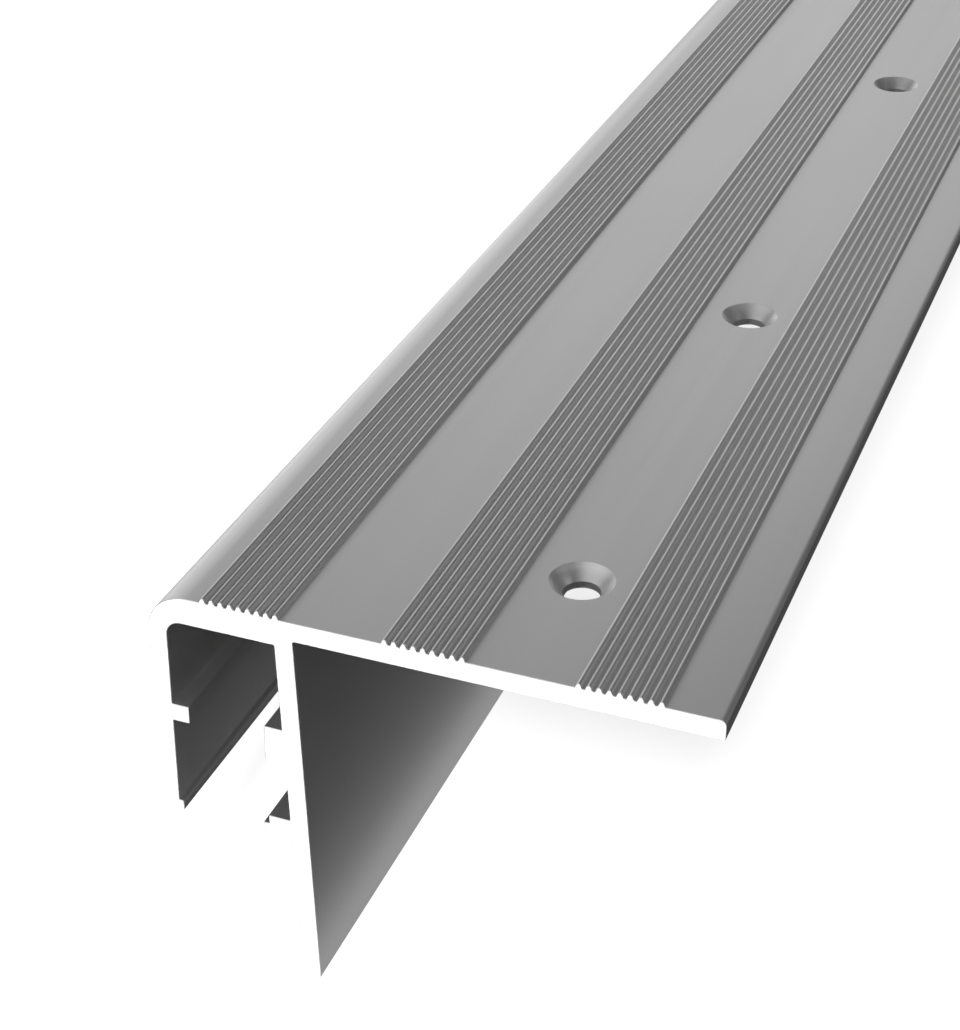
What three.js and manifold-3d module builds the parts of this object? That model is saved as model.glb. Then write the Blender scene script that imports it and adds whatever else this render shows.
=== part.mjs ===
import * as THREE from 'three';
import { mergeVertices } from 'three/addons/utils/BufferGeometryUtils.js';
import Module from 'manifold-3d';

// Aluminium stair nosing: one extrusion that is screwed down over the edge of a step.
// Lengths are in millimetres. +Y runs along the extrusion, +X from the nose to the rear edge, +Z up.
// The section is drawn with x = 0 on the back of the rear leg and z = 0 on the flats of the tread.

// Overall
const LENGTH = 1000;
const REAR_EDGE_X = 52.3;
const REAR_LEG_DEPTH = 57;
const CHANNEL_DEPTH = 33.6;

// Walls
const FLANGE_T = 2.7;
const CROWN_T = 3.8;
const LEG_T = 2.5;

// Front leg: its outer face leans out towards the bottom, from the corner that the nose rounds off.
const NOSE_CORNER_X = -19.3;
const SPLAY = Math.tan(THREE.MathUtils.degToRad(2.7));
const NOSE_R = 5.8;
const NOSE_INNER_R = 2.15;

// Lugs and beads inside the channel
const SHELF_TOP = 16.5;
const FRONT_LUG_T = 2.55;
const FRONT_LUG_REACH = 2.3;
const REAR_LUG_T = 5.3;
const REAR_LUG_X = -4.15;
const LOWER_LUG_TOP = 30.8;
const LOWER_LUG_X = -4;
const LIP_REACH = 0.8;
const BEAD_T = 1.5;
const BEAD_REACH = 0.65;

// Corner radii
const EDGE_R = 0.35;
const REAR_EDGE_TOP_R = 0.75;
const LEG_TIP_R = 0.95;
const FLANGE_FILLET_R = 0.3;
const ARC_STEP = Math.PI / 10;

// Anti-slip ribs: bands of round-topped ribs that stand on the flats
const BAND_COUNT = 3;
const BAND_PITCH = 23.5;
const FIRST_BAND_X = -12.1;
const RIBS_PER_BAND = 9;
const RIB_PITCH = 1.2;
const RIB_BASE = 0.9;
const RIB_HEIGHT = 0.62;
const RIB_SHOULDER = 0.4;

// Screw holes for 4 mm countersunk screws, in one row between the second and the third band
const HOLE_X = 28.7;
const HOLE_D = 4.6;
const HEAD_D = 8;
const HOLE_SEGMENTS = 28;
const END_DISTANCE = 20;
const FIRST_GAP = 74;
const PITCH_COUNT = 8;
const CUT_MARGIN = 1;

// The origin lies on the underside of the flange, at mid-length, midway from the rear leg to the screws.
const ORIGIN_X = HOLE_X / 2;
const ORIGIN_Z = -FLANGE_T;

const frontOuterX = (z) => NOSE_CORNER_X + SPLAY * z;
const frontInnerX = (z) => frontOuterX(z) + LEG_T * Math.hypot(1, SPLAY);

// A section is a list of corners [x, z, radius]. A corner with a radius becomes an arc.
function roundCorner(before, corner, after) {
  const here = new THREE.Vector2(corner[0], corner[1]);
  const radius = corner[2];
  if (!radius) return [here];
  const toBefore = new THREE.Vector2(before[0], before[1]).sub(here).normalize();
  const toAfter = new THREE.Vector2(after[0], after[1]).sub(here).normalize();
  const half = Math.acos(THREE.MathUtils.clamp(toBefore.dot(toAfter), -1, 1)) / 2;
  const bisector = toBefore.clone().add(toAfter).normalize();
  const centre = here.clone().addScaledVector(bisector, radius / Math.sin(half));
  const reach = radius / Math.tan(half);
  const first = here.clone().addScaledVector(toBefore, reach).sub(centre);
  const turn = Math.PI - 2 * half;
  const side = Math.sign(toAfter.cross(toBefore));
  const steps = Math.max(2, Math.ceil(turn / ARC_STEP));
  return Array.from({ length: steps + 1 }, (_, i) =>
    first.clone().rotateAround(new THREE.Vector2(), (side * turn * i) / steps).add(centre),
  );
}

function roundedOutline(corners) {
  return corners.flatMap((corner, i) =>
    roundCorner(corners.at(i - 1), corner, corners[(i + 1) % corners.length]),
  );
}

// One rib, from its left foot to its right foot
function ribCorners(x) {
  const shoulder = RIB_BASE * 0.17;
  const crest = RIB_BASE * 0.36;
  return [
    [x, 0],
    [x + shoulder, RIB_SHOULDER],
    [x + crest, RIB_HEIGHT],
    [x + RIB_BASE - crest, RIB_HEIGHT],
    [x + RIB_BASE - shoulder, RIB_SHOULDER],
    [x + RIB_BASE, 0],
  ];
}

function treadCorners() {
  const corners = [];
  for (let band = 0; band < BAND_COUNT; band += 1) {
    const bandX = FIRST_BAND_X + band * BAND_PITCH;
    for (let rib = 0; rib < RIBS_PER_BAND; rib += 1) {
      corners.push(...ribCorners(bandX + rib * RIB_PITCH));
    }
  }
  return corners;
}

// Flange end and underside, from the tread down to the back of the rear leg
function flangeCorners() {
  return [
    [REAR_EDGE_X, 0, REAR_EDGE_TOP_R],
    [REAR_EDGE_X, -FLANGE_T, EDGE_R],
    [0, -FLANGE_T, FLANGE_FILLET_R],
  ];
}

// Rear leg with its two lugs, from the back of its tip round to the channel's ceiling
function rearLegCorners() {
  const lowerStep = -CHANNEL_DEPTH + BEAD_T;
  const slant = (x, z) => x + SPLAY * z;
  return [
    [0, -REAR_LEG_DEPTH, EDGE_R],
    [-LEG_T, -REAR_LEG_DEPTH, LEG_TIP_R],
    [-LEG_T, -CHANNEL_DEPTH],
    [slant(LOWER_LUG_X, -CHANNEL_DEPTH) - LIP_REACH, -CHANNEL_DEPTH, EDGE_R],
    [slant(LOWER_LUG_X, lowerStep) - LIP_REACH, lowerStep],
    [slant(LOWER_LUG_X, lowerStep), lowerStep],
    [slant(LOWER_LUG_X, -LOWER_LUG_TOP), -LOWER_LUG_TOP],
    [-LEG_T, -LOWER_LUG_TOP],
    [-LEG_T, -SHELF_TOP - REAR_LUG_T],
    [slant(REAR_LUG_X, -SHELF_TOP - REAR_LUG_T), -SHELF_TOP - REAR_LUG_T],
    [slant(REAR_LUG_X, -SHELF_TOP), -SHELF_TOP],
    [-LEG_T, -SHELF_TOP],
    [-LEG_T, -CROWN_T],
  ];
}

// Front leg with its lug and bead, from the channel's ceiling round to the nose
function frontLegCorners() {
  const lugBottom = -SHELF_TOP - FRONT_LUG_T;
  const beadTop = -CHANNEL_DEPTH + BEAD_T;
  return [
    [frontInnerX(-CROWN_T), -CROWN_T, NOSE_INNER_R],
    [frontInnerX(-SHELF_TOP), -SHELF_TOP],
    [frontInnerX(-SHELF_TOP) + FRONT_LUG_REACH, -SHELF_TOP],
    [frontInnerX(lugBottom) + FRONT_LUG_REACH, lugBottom],
    [frontInnerX(lugBottom), lugBottom],
    [frontInnerX(beadTop), beadTop],
    [frontInnerX(beadTop) + BEAD_REACH, beadTop, EDGE_R],
    [frontInnerX(-CHANNEL_DEPTH) + BEAD_REACH, -CHANNEL_DEPTH],
    [frontOuterX(-CHANNEL_DEPTH), -CHANNEL_DEPTH, EDGE_R],
    [NOSE_CORNER_X, 0, NOSE_R],
  ];
}

// The section stands in the XZ plane, and the bar is centred on the origin along Y.
function barGeometry() {
  const section = roundedOutline([
    ...treadCorners(),
    ...flangeCorners(),
    ...rearLegCorners(),
    ...frontLegCorners(),
  ]);
  const geometry = new THREE.ExtrudeGeometry(new THREE.Shape(section), {
    depth: LENGTH,
    bevelEnabled: false,
  });
  geometry.rotateX(Math.PI / 2);
  geometry.translate(0, LENGTH / 2, 0);
  return geometry;
}

// Countersunk hole: the 90 degree cone is carried on past the tread so that the cut is clean.
function holeGeometry() {
  const holeR = HOLE_D / 2;
  const headR = HEAD_D / 2;
  const bottom = -FLANGE_T - CUT_MARGIN;
  const geometry = new THREE.LatheGeometry(
    [
      new THREE.Vector2(0, bottom),
      new THREE.Vector2(holeR, bottom),
      new THREE.Vector2(holeR, holeR - headR),
      new THREE.Vector2(headR + CUT_MARGIN, CUT_MARGIN),
      new THREE.Vector2(0, CUT_MARGIN),
    ],
    HOLE_SEGMENTS,
  );
  geometry.rotateX(Math.PI / 2);
  return geometry;
}

// Distances of the holes from mid-length: close together at both ends, evenly spaced between
function holePlaces() {
  const span = LENGTH - 2 * (END_DISTANCE + FIRST_GAP);
  const inner = Array.from(
    { length: PITCH_COUNT + 1 },
    (_, i) => -span / 2 + (i * span) / PITCH_COUNT,
  );
  const last = LENGTH / 2 - END_DISTANCE;
  return [-last, ...inner, last];
}

const wasm = await Module();
wasm.setup();

function toSolid(geometry) {
  const bare = geometry.clone();
  bare.deleteAttribute('normal');
  bare.deleteAttribute('uv');
  const merged = mergeVertices(bare);
  return new wasm.Manifold(
    new wasm.Mesh({
      numProp: 3,
      vertProperties: new Float32Array(merged.attributes.position.array),
      triVerts: new Uint32Array(merged.index.array),
    }),
  );
}

function toGeometry(solid) {
  const mesh = solid.getMesh();
  const geometry = new THREE.BufferGeometry();
  geometry.setAttribute('position', new THREE.BufferAttribute(mesh.vertProperties, 3));
  geometry.setIndex(new THREE.BufferAttribute(mesh.triVerts, 1));
  geometry.computeVertexNormals();
  return geometry;
}

function nosingGeometry() {
  const hole = toSolid(holeGeometry());
  let bar = toSolid(barGeometry());
  for (const y of holePlaces()) {
    bar = bar.subtract(hole.translate([HOLE_X, y, 0]));
  }
  return toGeometry(bar);
}

const anodisedAluminium = new THREE.MeshStandardMaterial({
  color: 0xa9aaab,
  roughness: 0.42,
  metalness: 1,
  flatShading: true,
});

const nosing = new THREE.Mesh(nosingGeometry(), anodisedAluminium);
nosing.name = 'stair_nosing_profile';
nosing.position.set(-ORIGIN_X, 0, -ORIGIN_Z);

const part = new THREE.Group();
part.add(nosing);

export default part;
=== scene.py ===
import math

import bmesh
import bpy
from mathutils import Matrix, Vector


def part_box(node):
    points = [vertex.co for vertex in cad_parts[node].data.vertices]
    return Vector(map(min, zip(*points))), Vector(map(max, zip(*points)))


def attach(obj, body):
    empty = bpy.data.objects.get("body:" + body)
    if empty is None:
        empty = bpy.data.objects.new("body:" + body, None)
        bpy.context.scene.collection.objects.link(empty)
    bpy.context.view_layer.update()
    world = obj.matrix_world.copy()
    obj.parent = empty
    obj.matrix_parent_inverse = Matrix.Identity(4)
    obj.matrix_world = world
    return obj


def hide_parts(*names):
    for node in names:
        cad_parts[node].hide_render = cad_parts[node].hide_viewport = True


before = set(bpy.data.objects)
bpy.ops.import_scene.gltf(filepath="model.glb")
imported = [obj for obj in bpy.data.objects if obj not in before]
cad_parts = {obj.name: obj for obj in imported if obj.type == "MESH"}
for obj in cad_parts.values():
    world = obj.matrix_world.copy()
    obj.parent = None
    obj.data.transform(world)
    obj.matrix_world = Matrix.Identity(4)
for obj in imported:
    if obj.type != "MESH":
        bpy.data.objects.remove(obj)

# Silver anodised aluminium stair nosing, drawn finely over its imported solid.
# The section's own millimetres: x from the back of the rear leg, y from the near cut end,
# z from the flats of the tread. at() turns them into the frame's metres.
NODE = "stair_nosing_profile"
MM = 0.001
ANODISED, SAWN, MACHINED = range(3)

# Walls and depths, as in the CAD model
REAR_EDGE_X = 52.3
REAR_LEG_DEPTH = 57.0
CHANNEL_DEPTH = 33.6
FLANGE_T = 2.7
CROWN_T = 3.8
LEG_T = 2.5
NOSE_CORNER_X = -19.3
SPLAY = math.tan(math.radians(2.7))
NOSE_R = 5.8
NOSE_INNER_R = 2.15

# Lugs, lip and bead in the channel
SHELF_TOP = 16.5
FRONT_LUG_T = 2.55
FRONT_LUG_REACH = 2.3
REAR_LUG_T = 5.3
REAR_LUG_X = -4.15
LOWER_LUG_TOP = 30.8
LOWER_LUG_X = -4.0
LIP_REACH = 0.8
BEAD_T = 1.5
BEAD_REACH = 0.65

# Radii: die-sharp corners are broken a little, as extruded corners are
DIE_R = 0.12
ROOT_R = 0.3
EDGE_R = 0.35
REAR_EDGE_TOP_R = 0.75
LEG_TIP_R = 0.95
ARC_STEP = math.radians(9)
SHARP_ANGLE = math.radians(32)

# Ribs: straight flanks that round crests and round valleys join
BAND_COUNT = 3
BAND_PITCH = 23.5
FIRST_BAND_X = -12.1
RIBS_PER_BAND = 9
RIB_PITCH = 1.2
RIB_BASE = 0.9
RIB_HEIGHT = 0.62
RIB_FLANK = math.radians(67)
VALLEY_R = 0.19

# Countersunk holes
HOLE_X = 28.7
HOLE_R = 2.3
HEAD_R = 4.0
RIM_BREAK = 0.06
HOLE_STEPS = 64
FLAT_TOLERANCE = 1e-4
END_DISTANCE = 20.0
FIRST_GAP = 74.0
PITCH_COUNT = 8

# The sawn ends are lightly deburred.
DEBURR = 0.07
MITRE_LIMIT = 0.5

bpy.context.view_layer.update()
box_low, box_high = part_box(NODE)
LENGTH = (box_high.y - box_low.y) / MM
ORIGIN = Vector((box_high.x - REAR_EDGE_X * MM, box_low.y, box_high.z - RIB_HEIGHT * MM))


def at(x, y, z):
    """A point of the section's millimetres, in the frame's metres."""
    return ORIGIN + Vector((x, y, z)) * MM


# ---------------------------------------------------------------- section


def front_outer_x(z):
    return NOSE_CORNER_X + SPLAY * z


def front_inner_x(z):
    return front_outer_x(z) + LEG_T * math.hypot(1, SPLAY)


def rounded(corners):
    """The outline of a closed list of corners (x, z, radius), with an arc at each radius."""
    points = []
    for i, (x, z, radius) in enumerate(corners):
        here = Vector((x, z))
        if not radius:
            points.append(here)
            continue
        to_before = (Vector(corners[i - 1][:2]) - here).normalized()
        to_after = (Vector(corners[(i + 1) % len(corners)][:2]) - here).normalized()
        half = math.acos(max(-1.0, min(1.0, to_before.dot(to_after)))) / 2
        centre = here + (to_before + to_after).normalized() * (radius / math.sin(half))
        spoke = here + to_before * (radius / math.tan(half)) - centre
        turn = math.pi - 2 * half
        side = math.copysign(1, to_after.x * to_before.y - to_after.y * to_before.x)
        steps = max(2, math.ceil(turn / ARC_STEP))
        for step in range(steps + 1):
            angle = side * turn * step / steps
            cos, sin = math.cos(angle), math.sin(angle)
            turned = Vector((spoke.x * cos - spoke.y * sin, spoke.x * sin + spoke.y * cos))
            points.append(centre + turned)
    return points


def band_corners(x):
    """One band of ribs. The flanks meet in sharp points, which become the crests and the valleys."""
    slope = math.tan(RIB_FLANK)
    apex = slope * RIB_BASE / 2
    crest_r = (apex - RIB_HEIGHT) / (1 / math.cos(RIB_FLANK) - 1)
    half_gap = (RIB_PITCH - RIB_BASE) / 2
    corners = [(x, 0, 0)]
    for rib in range(RIBS_PER_BAND):
        left = x + rib * RIB_PITCH
        if rib:
            corners.append((left - half_gap, -slope * half_gap, VALLEY_R))
        corners.append((left + RIB_BASE / 2, apex, crest_r))
    corners.append((left + RIB_BASE, 0, 0))
    return corners


def tread_corners():
    corners = []
    for band in range(BAND_COUNT):
        corners += band_corners(FIRST_BAND_X + band * BAND_PITCH)
    return corners


def flange_corners():
    return [
        (REAR_EDGE_X, 0, REAR_EDGE_TOP_R),
        (REAR_EDGE_X, -FLANGE_T, EDGE_R),
        (0, -FLANGE_T, ROOT_R),
    ]


def rear_leg_corners():
    lip_top = BEAD_T - CHANNEL_DEPTH
    lug_bottom = -SHELF_TOP - REAR_LUG_T

    def slant(x, z):
        return x + SPLAY * z

    return [
        (0, -REAR_LEG_DEPTH, EDGE_R),
        (-LEG_T, -REAR_LEG_DEPTH, LEG_TIP_R),
        (-LEG_T, -CHANNEL_DEPTH, DIE_R),
        (slant(LOWER_LUG_X, -CHANNEL_DEPTH) - LIP_REACH, -CHANNEL_DEPTH, EDGE_R),
        (slant(LOWER_LUG_X, lip_top) - LIP_REACH, lip_top, DIE_R),
        (slant(LOWER_LUG_X, lip_top), lip_top, DIE_R),
        (slant(LOWER_LUG_X, -LOWER_LUG_TOP), -LOWER_LUG_TOP, DIE_R),
        (-LEG_T, -LOWER_LUG_TOP, DIE_R),
        (-LEG_T, lug_bottom, DIE_R),
        (slant(REAR_LUG_X, lug_bottom), lug_bottom, DIE_R),
        (slant(REAR_LUG_X, -SHELF_TOP), -SHELF_TOP, DIE_R),
        (-LEG_T, -SHELF_TOP, DIE_R),
        (-LEG_T, -CROWN_T, DIE_R),
    ]


def front_leg_corners():
    lug_bottom = -SHELF_TOP - FRONT_LUG_T
    bead_top = BEAD_T - CHANNEL_DEPTH
    return [
        (front_inner_x(-CROWN_T), -CROWN_T, NOSE_INNER_R),
        (front_inner_x(-SHELF_TOP), -SHELF_TOP, DIE_R),
        (front_inner_x(-SHELF_TOP) + FRONT_LUG_REACH, -SHELF_TOP, DIE_R),
        (front_inner_x(lug_bottom) + FRONT_LUG_REACH, lug_bottom, DIE_R),
        (front_inner_x(lug_bottom), lug_bottom, DIE_R),
        (front_inner_x(bead_top), bead_top, DIE_R),
        (front_inner_x(bead_top) + BEAD_REACH, bead_top, EDGE_R),
        (front_inner_x(-CHANNEL_DEPTH) + BEAD_REACH, -CHANNEL_DEPTH, DIE_R),
        (front_outer_x(-CHANNEL_DEPTH), -CHANNEL_DEPTH, EDGE_R),
        (NOSE_CORNER_X, 0, NOSE_R),
    ]


def section_outline():
    return rounded(tread_corners() + flange_corners() + rear_leg_corners() + front_leg_corners())


def inset(points, distance):
    """The outline moved into the material by a distance, with its corners mitred up to a limit."""
    moved = []
    for i, here in enumerate(points):
        before = (here - points[i - 1]).normalized()
        after = (points[(i + 1) % len(points)] - here).normalized()
        inward = Vector((before.y + after.y, -before.x - after.x)).normalized()
        across = Vector((before.y, -before.x))
        moved.append(here + inward * (distance / max(MITRE_LIMIT, inward.dot(across))))
    return moved


# ---------------------------------------------------------------- mesh


def hole_places():
    """Distances of the holes from the near end."""
    first = END_DISTANCE + FIRST_GAP
    pitch = (LENGTH - 2 * first) / PITCH_COUNT
    inner = [first + i * pitch for i in range(PITCH_COUNT + 1)]
    return [END_DISTANCE, *inner, LENGTH - END_DISTANCE]


def stations(holes):
    """Places along the bar where its long faces are divided: the deburred ends, and between holes."""
    between = [(a + b) / 2 for a, b in zip(holes, holes[1:])]
    return [DEBURR, *between, LENGTH - DEBURR]


def circle(mesh, y, radius, z):
    ring = []
    for step in range(HOLE_STEPS):
        angle = 2 * math.pi * (step + 0.5) / HOLE_STEPS
        x = HOLE_X + radius * math.cos(angle)
        ring.append(mesh.verts.new(at(x, y + radius * math.sin(angle), z)))
    return ring


def bridge(mesh, first, second, material):
    """Quads between two closed rings of the same number of points."""
    for i in range(len(first)):
        j = (i + 1) % len(first)
        face = mesh.faces.new((first[i], first[j], second[j], second[i]))
        face.material_index = material


def face_round_hole(mesh, corners, ring):
    """Four faces from a tile's corners to the ring in it. Corners run as the ring does, from +x -y."""
    quarter = HOLE_STEPS // 4
    for side in range(4):
        start = side * quarter - quarter // 2
        arc = [ring[(start + step) % HOLE_STEPS] for step in range(quarter)]
        arc.append(ring[(start + quarter) % HOLE_STEPS])
        mesh.faces.new((corners[side], corners[(side + 1) % 4], *reversed(arc)))


def countersink(mesh, y):
    """The hole's surface at a place along the bar. Returns its rims on the tread and the underside."""
    top = circle(mesh, y, HEAD_R + RIM_BREAK, 0)
    cone_top = circle(mesh, y, HEAD_R - RIM_BREAK / 2, -RIM_BREAK)
    cone_foot = circle(mesh, y, HOLE_R, HOLE_R - HEAD_R)
    land_foot = circle(mesh, y, HOLE_R, RIM_BREAK - FLANGE_T)
    bottom = circle(mesh, y, HOLE_R + RIM_BREAK, -FLANGE_T)
    rims = [top, cone_top, cone_foot, land_foot, bottom]
    for first, second in zip(rims, rims[1:]):
        bridge(mesh, first, second, MACHINED)
    return top, bottom


def segment_over_holes(points, z):
    """The index of the outline's long flat segment at height z that the holes go through."""
    for i, a in enumerate(points):
        b = points[(i + 1) % len(points)]
        flat = abs(a.y - z) < FLAT_TOLERANCE and abs(b.y - z) < FLAT_TOLERANCE
        if flat and min(a.x, b.x) < HOLE_X < max(a.x, b.x):
            return i
    raise ValueError("no flat over the holes")


def build_bar():
    outline = section_outline()
    ends = inset(outline, DEBURR)
    holes = hole_places()
    count = len(outline)
    mesh = bmesh.new()
    rings = [[mesh.verts.new(at(p.x, y, p.y)) for p in outline] for y in stations(holes)]
    near = [mesh.verts.new(at(p.x, 0, p.y)) for p in ends]
    far = [mesh.verts.new(at(p.x, LENGTH, p.y)) for p in ends]
    tread = segment_over_holes(outline, 0)
    underside = segment_over_holes(outline, -FLANGE_T)
    for hole, y in enumerate(holes):
        top, bottom = countersink(mesh, y)
        for i in range(count):
            j = (i + 1) % count
            a, b = rings[hole][i], rings[hole][j]
            d, c = rings[hole + 1][i], rings[hole + 1][j]
            if i == tread:
                face_round_hole(mesh, (b, c, d, a), top)
            elif i == underside:
                face_round_hole(mesh, (a, d, c, b), bottom)
            else:
                mesh.faces.new((a, b, c, d))
    bridge(mesh, near, rings[0], ANODISED)
    bridge(mesh, rings[-1], far, ANODISED)
    for ring in (near, far):
        mesh.faces.new(ring).material_index = SAWN
    bmesh.ops.recalc_face_normals(mesh, faces=mesh.faces)
    for face in mesh.faces:
        face.smooth = True
    data = bpy.data.meshes.new("nosing_bar")
    mesh.to_mesh(data)
    mesh.free()
    data.set_sharp_from_angle(angle=SHARP_ANGLE)
    bar = bpy.data.objects.new("nosing_bar", data)
    bpy.context.scene.collection.objects.link(bar)
    return bar


# ---------------------------------------------------------------- materials

# Noise cells in a metre along x, y and z
EXTRUSION_LINES = (5200, 3, 5200)
CLOUDS = (45, 12, 45)
ETCH_GRAIN = (9000, 9000, 9000)
SAW_LINES = (700, 40, 5200)
TURNING_MARKS = (60, 60, 16000)
FLOOR_CLOUDS = (3, 3, 3)

# How deep the fine relief is
EXTRUSION_LINE_DEPTH = 0.0025 * MM
ETCH_GRAIN_DEPTH = 0.0015 * MM
SAW_LINE_DEPTH = 0.004 * MM
TURNING_DEPTH = 0.004 * MM


class Nodes:
    """A material with a principled shader, and short ways to add nodes to it."""

    def __init__(self, name):
        self.material = bpy.data.materials.new(name)
        self.material.use_nodes = True
        self.tree = self.material.node_tree
        self.shader = self.tree.nodes["Principled BSDF"]
        self.place = self.add("ShaderNodeTexCoord").outputs["Object"]

    def add(self, kind, **values):
        node = self.tree.nodes.new(kind)
        for name, value in values.items():
            setattr(node, name, value)
        return node

    def link(self, output, socket):
        self.tree.links.new(output, socket)

    def noise(self, scale, detail=2.0):
        """Noise over the object's own metres. scale is the number of cells in a metre, for each axis."""
        mapping = self.add("ShaderNodeMapping")
        mapping.inputs["Scale"].default_value = scale
        self.link(self.place, mapping.inputs["Vector"])
        noise = self.add("ShaderNodeTexNoise")
        noise.inputs["Scale"].default_value = 1.0
        noise.inputs["Detail"].default_value = detail
        self.link(mapping.outputs["Vector"], noise.inputs["Vector"])
        return noise.outputs["Fac"]

    def spread(self, value, low, high):
        """A value from about 0.3 to 0.7, spread over a range."""
        node = self.add("ShaderNodeMapRange")
        node.inputs["From Min"].default_value = 0.3
        node.inputs["From Max"].default_value = 0.7
        node.inputs["To Min"].default_value = low
        node.inputs["To Max"].default_value = high
        self.link(value, node.inputs["Value"])
        return node.outputs["Result"]

    def grey(self, value, dark, light):
        """Neutral base colour that goes from dark to light with a noise value."""
        node = self.add("ShaderNodeMix", data_type="RGBA")
        factor, first, second = node.inputs[0], node.inputs[6], node.inputs[7]
        first.default_value = (dark, dark, dark, 1)
        second.default_value = (light, light, light, 1)
        self.link(self.spread(value, 0, 1), factor)
        self.link(node.outputs[2], self.shader.inputs["Base Color"])

    def bump(self, height, distance, normal=None):
        node = self.add("ShaderNodeBump")
        node.inputs["Distance"].default_value = distance
        self.link(height, node.inputs["Height"])
        if normal is not None:
            self.link(normal, node.inputs["Normal"])
        return node.outputs["Normal"]


def anodised_aluminium():
    """Matt etched and anodised skin: fine lines along the extrusion and a soft cloudiness."""
    m = Nodes("silver_anodised")
    m.shader.inputs["Metallic"].default_value = 0.8
    lines = m.noise(EXTRUSION_LINES, detail=3)
    grain = m.noise(ETCH_GRAIN, detail=1)
    m.grey(m.noise(CLOUDS), 0.70, 0.73)
    m.link(m.spread(lines, 0.40, 0.47), m.shader.inputs["Roughness"])
    streaked = m.bump(lines, EXTRUSION_LINE_DEPTH)
    m.link(m.bump(grain, ETCH_GRAIN_DEPTH, normal=streaked), m.shader.inputs["Normal"])
    return m.material


def sawn_aluminium():
    """Freshly cut end: very bright, with faint saw lines across the section."""
    m = Nodes("sawn_end")
    m.shader.inputs["Metallic"].default_value = 0.0
    m.shader.inputs["Roughness"].default_value = 0.6
    lines = m.noise(SAW_LINES, detail=3)
    m.grey(lines, 0.93, 0.985)
    m.link(m.bump(lines, SAW_LINE_DEPTH), m.shader.inputs["Normal"])
    return m.material


def machined_aluminium():
    """Countersink: a brighter cut skin with turning marks, which lie level round the cone."""
    m = Nodes("turned_countersink")
    m.shader.inputs["Metallic"].default_value = 0.75
    turning = m.noise(TURNING_MARKS)
    m.grey(turning, 0.80, 0.88)
    m.link(m.spread(turning, 0.38, 0.48), m.shader.inputs["Roughness"])
    m.link(m.bump(turning, TURNING_DEPTH), m.shader.inputs["Normal"])
    return m.material


def floor_material():
    """Pale light-table top: it glows, so shadows on it stay faint."""
    m = Nodes("pale_floor")
    m.shader.inputs["Roughness"].default_value = 0.9
    m.shader.inputs["Specular IOR Level"].default_value = 0.0
    m.shader.inputs["Emission Color"].default_value = (1, 1, 1, 1)
    m.shader.inputs["Emission Strength"].default_value = FLOOR_GLOW
    m.grey(m.noise(FLOOR_CLOUDS), 0.50, 0.53)
    return m.material


# ---------------------------------------------------------------- stage

# The glow: its direction, the cosines at which it starts and is full, and its level at heights from -1 to 1
GLOW_AZIMUTH = -24
GLOW_EDGE = 0.6
GLOW_CORE = 0.98
GLOW_STOPS = [(-0.08, 0.0), (0.05, 1.15), (0.2, 1.25), (0.4, 1.3), (0.6, 0.6), (0.85, 0.0)]
GLOW_SCALE = 3.0
STUDIO_LEVEL = 0.01
BACKDROP_LEVEL = 0.84
FLOOR_SIZE = 24.0
FLOOR_GLOW = 0.8

# Lamps: what each one faces in the section's millimetres, its azimuth and elevation in degrees, its distance
# and size in metres, its radiance, and what it lights. The leg's lamp lies just under the floor, which lets
# its light through, and brightens the foot of the rear leg. The floor's lamp draws the shadow on the floor.
NEAR_TREAD = (15, 120, 0)
MIDDLE = (15, 500, -20)
LAMPS = {
    "floor_light": ((15, 120, -57), 166, 40, 1.6, (0.22, 0.22), 115, "floor"),
    "right_light": (NEAR_TREAD, 90, 27, 1.6, (0.84, 0.42), 2, "bar"),
    "nose_light": ((-15, 120, -5), -45, -8, 1.6, (1.0, 0.5), 1.3, "bar"),
    "leg_light": ((4, 460, 0), 0, -90, 0.0585, (0.007, 1.0), 0.45, "bar"),
    "end_light": ((15, 0, -20), 180, 4, 1.6, (0.16, 0.4), 130, "bar"),
    "right_fill": (MIDDLE, 92, 4, 1.8, (1.7, 1.0), 0.6, "bar"),
    "left_fill": (MIDDLE, -100, -6, 1.8, (1.9, 1.0), 0.6, "bar"),
    "front_light": (NEAR_TREAD, -150, 45, 1.6, (4.2, 1.4), 0.7, "all"),
}


def add_floor():
    """A wide floor that only the camera sees: the bar neither mirrors it nor loses light to it."""
    bpy.ops.mesh.primitive_plane_add(size=FLOOR_SIZE, location=(0, 0, box_low.z))
    floor = bpy.context.object
    floor.name = "floor"
    floor.data.materials.append(floor_material())
    floor.visible_glossy = False
    floor.visible_diffuse = False
    floor.visible_shadow = False
    return floor


def direction(azimuth, elevation):
    """A unit vector. Azimuth 0 is along the bar, away from its near end, and grows towards +X."""
    turn, rise = math.radians(azimuth), math.radians(elevation)
    return Vector((math.cos(rise) * math.sin(turn), math.cos(rise) * math.cos(turn), math.sin(rise)))


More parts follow.
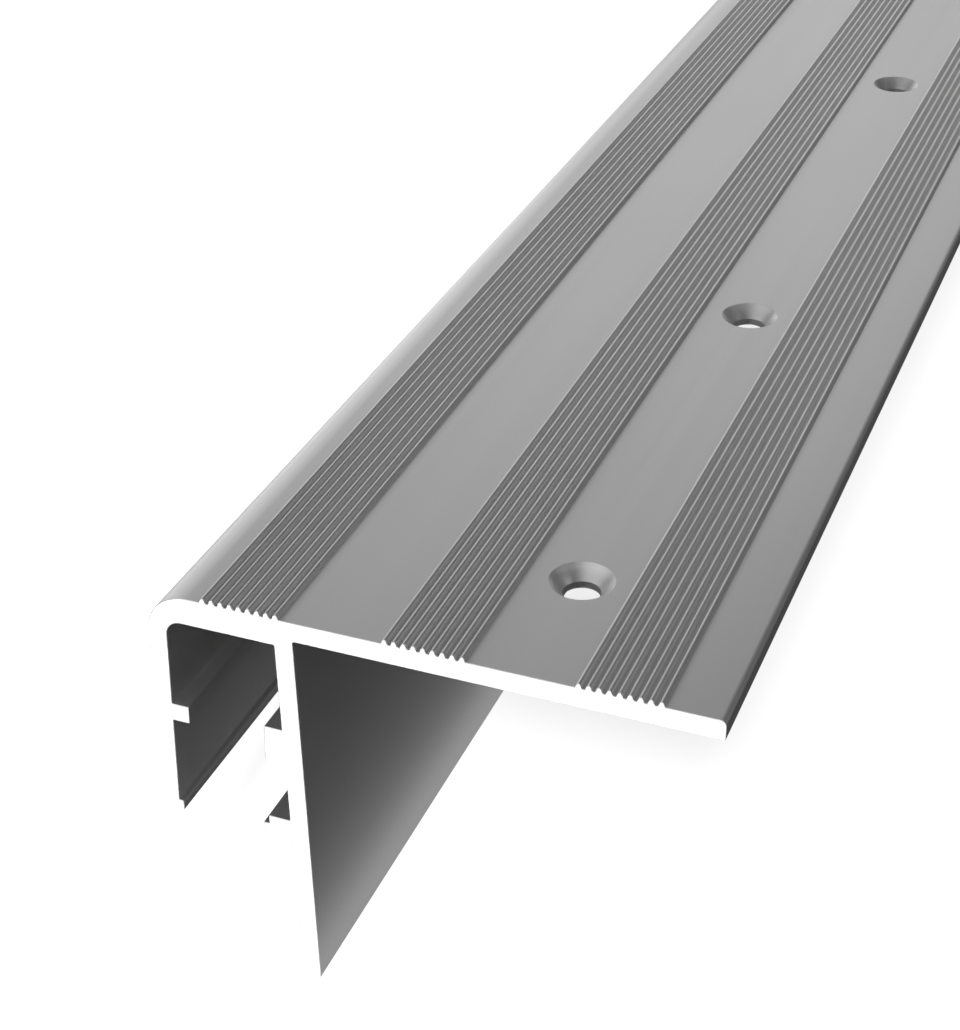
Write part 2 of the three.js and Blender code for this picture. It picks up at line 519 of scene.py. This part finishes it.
def add_world():
    """Dim studio with one soft glow beyond the far end, from the horizon up. The backdrop is pale."""
    world = bpy.data.worlds.new("studio")
    bpy.context.scene.world = world
    world.use_nodes = True
    tree = world.node_tree
    background = tree.nodes["Background"]
    background.inputs["Color"].default_value = (1, 1, 1, 1)
    place = tree.nodes.new("ShaderNodeTexCoord").outputs["Generated"]

    def map_range(value, start, end, smooth):
        node = tree.nodes.new("ShaderNodeMapRange")
        node.interpolation_type = "SMOOTHSTEP" if smooth else "LINEAR"
        node.inputs["From Min"].default_value = start
        node.inputs["From Max"].default_value = end
        tree.links.new(value, node.inputs["Value"])
        return node.outputs["Result"]

    def ramp(value, stops):
        """Levels, up to GLOW_SCALE, at given heights from -1 to 1."""
        node = tree.nodes.new("ShaderNodeValToRGB")
        elements = node.color_ramp.elements
        while len(elements) < len(stops):
            elements.new(0.5)
        for element, (height, level) in zip(elements, stops):
            element.position = (height + 1) / 2
            element.color = (level / GLOW_SCALE,) * 3 + (1,)
        tree.links.new(map_range(value, -1.0, 1.0, False), node.inputs["Fac"])
        return combine("MULTIPLY", node.outputs["Color"], GLOW_SCALE)

    def combine(operation, first, second):
        node = tree.nodes.new("ShaderNodeMath")
        node.operation = operation
        for value, socket in zip((first, second), node.inputs):
            if isinstance(value, float):
                socket.default_value = value
            else:
                tree.links.new(value, socket)
        return node.outputs[0]

    toward = tree.nodes.new("ShaderNodeVectorMath")
    toward.operation = "DOT_PRODUCT"
    toward.inputs[1].default_value = direction(GLOW_AZIMUTH, 0)
    tree.links.new(place, toward.inputs[0])
    split = tree.nodes.new("ShaderNodeSeparateXYZ")
    tree.links.new(place, split.inputs[0])
    side = map_range(toward.outputs["Value"], GLOW_EDGE, GLOW_CORE, True)
    glow = combine("MULTIPLY", side, ramp(split.outputs["Z"], GLOW_STOPS))
    seen = tree.nodes.new("ShaderNodeLightPath").outputs["Is Camera Ray"]
    level = tree.nodes.new("ShaderNodeMix")
    level.inputs["B"].default_value = BACKDROP_LEVEL
    tree.links.new(seen, level.inputs["Factor"])
    tree.links.new(combine("ADD", glow, STUDIO_LEVEL), level.inputs["A"])
    tree.links.new(level.outputs["Result"], background.inputs["Strength"])


def softbox(name, target, toward, distance, size, level, receivers):
    """A soft light of a given radiance that faces the target from a direction."""
    lamp = bpy.data.lights.new(name, "AREA")
    lamp.shape = "RECTANGLE"
    lamp.size, lamp.size_y = size
    lamp.energy = level * math.pi * size[0] * size[1]
    light = bpy.data.objects.new(name, lamp)
    light.location = target + toward * distance
    light.rotation_euler = toward.to_track_quat("Z", "Y").to_euler()
    bpy.context.scene.collection.objects.link(light)
    light.light_linking.receiver_collection = receivers


def only(thing):
    """A collection of one object, which lamps can be linked to."""
    collection = bpy.data.collections.new("lit_" + thing.name)
    collection.objects.link(thing)
    return collection


def add_lamps(bar, floor):
    lit = {"bar": only(bar), "floor": only(floor), "all": None}
    for name, (target, azimuth, elevation, distance, size, level, lights) in LAMPS.items():
        softbox(name, at(*target), direction(azimuth, elevation), distance, size, level, lit[lights])


# ---------------------------------------------------------------- camera

CAMERA_PLACE = (93.95, -167.03, 135.0)
CAMERA_AIM = (11.864, 29.285, 0)
CAMERA_ROLL = math.radians(-1.367)
CAMERA_LENS = 70.28
SENSOR_WIDTH = 36
CLIP_START = 0.01
CLIP_END = 60


def add_camera():
    data = bpy.data.cameras.new("camera")
    data.lens = CAMERA_LENS
    data.sensor_width = SENSOR_WIDTH
    data.clip_start = CLIP_START
    data.clip_end = CLIP_END
    camera = bpy.data.objects.new("camera", data)
    place, aim = at(*CAMERA_PLACE), at(*CAMERA_AIM)
    level = (aim - place).to_track_quat("-Z", "Y").to_matrix().to_4x4()
    camera.matrix_world = Matrix.Translation(place) @ level @ Matrix.Rotation(CAMERA_ROLL, 4, "Z")
    bpy.context.scene.collection.objects.link(camera)
    bpy.context.scene.camera = camera


# ---------------------------------------------------------------- scene

add_camera()
floor = add_floor()
add_world()

bar = build_bar()
add_lamps(bar, floor)
bar.data.materials.append(anodised_aluminium())
bar.data.materials.append(sawn_aluminium())
bar.data.materials.append(machined_aluminium())
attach(bar, "root")
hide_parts(NODE)

view = bpy.context.scene.view_settings
view.view_transform = "Standard"
view.look = "None"
